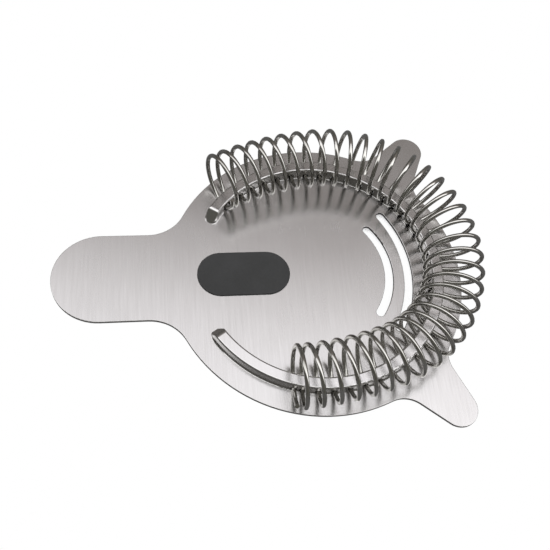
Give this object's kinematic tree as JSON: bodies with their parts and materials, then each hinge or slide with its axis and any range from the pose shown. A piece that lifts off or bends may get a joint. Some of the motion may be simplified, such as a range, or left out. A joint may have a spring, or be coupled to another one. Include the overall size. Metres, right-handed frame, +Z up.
{
  "type": "hawthorne strainer",
  "caption": "Hawthorne cocktail strainer: flat steel plate with a handle, ears and crescent slots, a coil spring held by a raised rail, and a rubber finger pad.",
  "frame": {"origin": "middle of the base of the whole object, level with the finger pad's flat face that it lies on", "axes": "+X towards the pouring side with the handle towards -X, +Y across the handle, +Z up out of the face that carries the spring"},
  "size_m": [0.1132, 0.0892, 0.0187],
  "materials": {
    "plate": "fine straight brushed grain across the handle",
    "spring": "bright drawn stainless wire",
    "finger_pad": "matt moulded"
  },
  "bodies": {
    "plate": {"plate": "plate", "finger_pad": "finger_pad"},
    "spring": {"spring": "spring"}
  },
  "joints": [
    {"name": "spring_press", "type": "slide", "parent": "plate", "child": "spring", "axis": [1, 0, 0], "range_m": [-0.003, 0], "stiffness_N_per_m": 1000, "deforming": ["spring"]}
  ]
}
